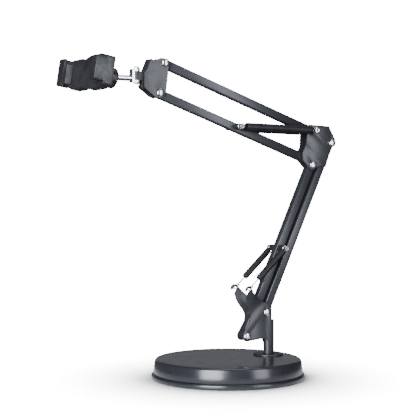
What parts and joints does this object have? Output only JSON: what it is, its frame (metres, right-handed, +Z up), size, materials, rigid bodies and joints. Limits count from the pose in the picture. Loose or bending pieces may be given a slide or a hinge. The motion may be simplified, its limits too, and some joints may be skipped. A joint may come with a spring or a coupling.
{
  "type": "spring arm desk stand",
  "caption": "Spring-balanced scissor arm on a round weighted base that swivels, carrying a sprung clamp on a ball joint to hold a phone or small tool.",
  "frame": {"origin": "centre of the base's underside, on the surface it stands on", "axes": "+Z up; the arm lies in the XZ plane with the clamp towards -X and the post at +X; +Y is the side away from the screw heads"},
  "size_m": [0.3477, 0.1818, 0.3733],
  "materials": {
    "powder_black": "satin black powder coat with fine orange peel",
    "black_nylon": "moulded black nylon, lightly textured",
    "bright_chrome": "bright plated steel",
    "zinc_steel": "plain zinc plated steel",
    "raw_iron": "as-cast iron",
    "black_rubber": "matt black rubber foam"
  },
  "bodies": {
    "base": {"base_shell": "powder_black", "base_rim": "powder_black", "foot_pad": "black_rubber", "base_ballast": "raw_iron", "flanged_bush": "black_nylon"},
    "post": {"post": "powder_black", "post_nut": "zinc_steel", "lower_bracket": "powder_black", "shoulder_screw_low": "bright_chrome", "shoulder_screw_high": "bright_chrome"},
    "lower_left_link": {"lower_tube_left": "powder_black", "lower_tube_left_near_plug": "black_nylon", "lower_tube_left_far_plug": "black_nylon", "lower_anchor_pin": "bright_chrome", "lower_spacer_front": "black_nylon", "lower_spacer_rear": "black_nylon"},
    "lower_right_link": {"lower_tube_right": "powder_black", "lower_tube_right_near_plug": "black_nylon", "lower_tube_right_far_plug": "black_nylon"},
    "lower_springs": {"lower_spring_front": "bright_chrome", "lower_spring_rear": "bright_chrome", "lower_sleeve_front": "black_nylon", "lower_sleeve_rear": "black_nylon"},
    "lower_hooks": {"lower_hook_front": "bright_chrome", "lower_hook_rear": "bright_chrome"},
    "elbow": {"elbow_plate_front": "powder_black", "elbow_plate_rear": "powder_black", "elbow_screw_low": "bright_chrome", "elbow_screw_right": "bright_chrome", "elbow_spring_pin": "bright_chrome", "elbow_pin": "zinc_steel"},
    "upper_top_link": {"upper_tube_top": "powder_black", "upper_tube_top_near_plug": "black_nylon", "upper_tube_top_far_plug": "black_nylon"},
    "upper_bottom_link": {"upper_tube_bottom": "powder_black", "upper_tube_bottom_near_plug": "black_nylon", "upper_tube_bottom_far_plug": "black_nylon", "upper_anchor_pin": "bright_chrome", "upper_spacer_front": "black_nylon", "upper_spacer_rear": "black_nylon"},
    "upper_springs": {"upper_spring_front": "bright_chrome", "upper_spring_rear": "bright_chrome", "upper_sleeve_front": "black_nylon", "upper_sleeve_rear": "black_nylon"},
    "upper_hooks": {"upper_hook_front": "bright_chrome", "upper_hook_rear": "bright_chrome"},
    "head": {"head_bracket": "powder_black", "head_screw_top": "bright_chrome", "head_screw_bottom": "bright_chrome", "neck_block": "black_nylon"},
    "yoke": {"yoke": "bright_chrome", "pan_pin": "bright_chrome", "ball_stud": "bright_chrome"},
    "socket": {"ball_grip": "black_nylon"},
    "ring": {"lock_ring": "black_nylon"},
    "clamp": {"clamp_body": "black_nylon", "clamp_spring": "zinc_steel", "near_pad": "black_rubber"},
    "jaw": {"sliding_jaw": "black_nylon", "far_pad": "black_rubber"}
  },
  "joints": [
    {"name": "base_swivel", "type": "hinge", "parent": "base", "child": "post", "pos_m": [0.056, 0, 0.024], "axis": [0, 0, 1], "continuous": true},
    {"name": "lower_arm", "type": "hinge", "parent": "post", "child": "lower_left_link", "pos_m": [0.02235, 0, 0.0486], "axis": [0, -1, 0], "range_deg": [-4, 50]},
    {"name": "lower_arm_second_link", "type": "hinge", "parent": "post", "child": "lower_right_link", "pos_m": [0.04995, 0, 0.07601], "axis": [0, -1, 0], "range_deg": [-4, 50]},
    {"name": "elbow_level", "type": "hinge", "parent": "lower_left_link", "child": "elbow", "pos_m": [0.11656, 0, 0.25381], "axis": [0, -1, 0], "range_deg": [-50, 4]},
    {"name": "lower_spring_swing", "type": "hinge", "parent": "lower_left_link", "child": "lower_springs", "pos_m": [0.07012, 0, 0.15266], "axis": [0, -1, 0], "range_deg": [-3.2, 40]},
    {"name": "lower_hook_swing", "type": "hinge", "parent": "post", "child": "lower_hooks", "pos_m": [0.01865, 0, 0.1049], "axis": [0, -1, 0], "range_deg": [-7.2, 90]},
    {"name": "upper_arm", "type": "hinge", "parent": "elbow", "child": "upper_top_link", "pos_m": [0.11571, 0, 0.29591], "axis": [0, -1, 0], "range_deg": [-5, 50]},
    {"name": "upper_arm_second_link", "type": "hinge", "parent": "elbow", "child": "upper_bottom_link", "pos_m": [0.10903, 0, 0.2612], "axis": [0, -1, 0], "range_deg": [-5, 50]},
    {"name": "head_level", "type": "hinge", "parent": "upper_top_link", "child": "head", "pos_m": [-0.08675, 0, 0.36796], "axis": [0, -1, 0], "range_deg": [-50, 5]},
    {"name": "upper_spring_swing", "type": "hinge", "parent": "elbow", "child": "upper_springs", "pos_m": [0.11571, 0, 0.29591], "axis": [0, -1, 0], "range_deg": [-4.5, 44]},
    {"name": "upper_hook_swing", "type": "hinge", "parent": "upper_bottom_link", "child": "upper_hooks", "pos_m": [0.00916, 0, 0.29774], "axis": [0, -1, 0], "range_deg": [-7, 1]},
    {"name": "yoke_pan", "type": "hinge", "parent": "head", "child": "yoke", "pos_m": [-0.11975, 0, 0.35196], "axis": [0, 0, 1], "range_deg": [-50, 50]},
    {"name": "ball_yaw", "type": "hinge", "parent": "yoke", "child": "socket", "pos_m": [-0.15675, 0, 0.34896], "axis": [0, 0, 1], "range_deg": [-17, 7]},
    {"name": "ball_tilt", "type": "hinge", "parent": "socket", "child": "ring", "pos_m": [-0.15675, 0, 0.34896], "axis": [0.0872, -0.9962, 0], "range_deg": [-6, 24]},
    {"name": "clamp_spin", "type": "hinge", "parent": "ring", "child": "clamp", "pos_m": [-0.15675, 0, 0.34896], "axis": [-0.9839, -0.0861, 0.1564], "continuous": true},
    {"name": "jaw_slide", "type": "slide", "parent": "clamp", "child": "jaw", "axis": [-0.0872, 0.9962, 0], "range_m": [0, 0.028], "stiffness_N_per_m": 350, "springref_m": -0.012}
  ],
  "couplings": [
    {"joint": "lower_arm_second_link", "follows": "lower_arm", "ratio": 1},
    {"joint": "elbow_level", "follows": "lower_arm", "ratio": -1},
    {"joint": "lower_spring_swing", "follows": "lower_arm", "ratio": 0.791},
    {"joint": "lower_hook_swing", "follows": "lower_arm", "ratio": 1.791},
    {"joint": "upper_arm_second_link", "follows": "upper_arm", "ratio": 1},
    {"joint": "head_level", "follows": "upper_arm", "ratio": -1},
    {"joint": "upper_spring_swing", "follows": "upper_arm", "ratio": 0.865},
    {"joint": "upper_hook_swing", "follows": "upper_arm", "ratio": -0.135}
  ]
}
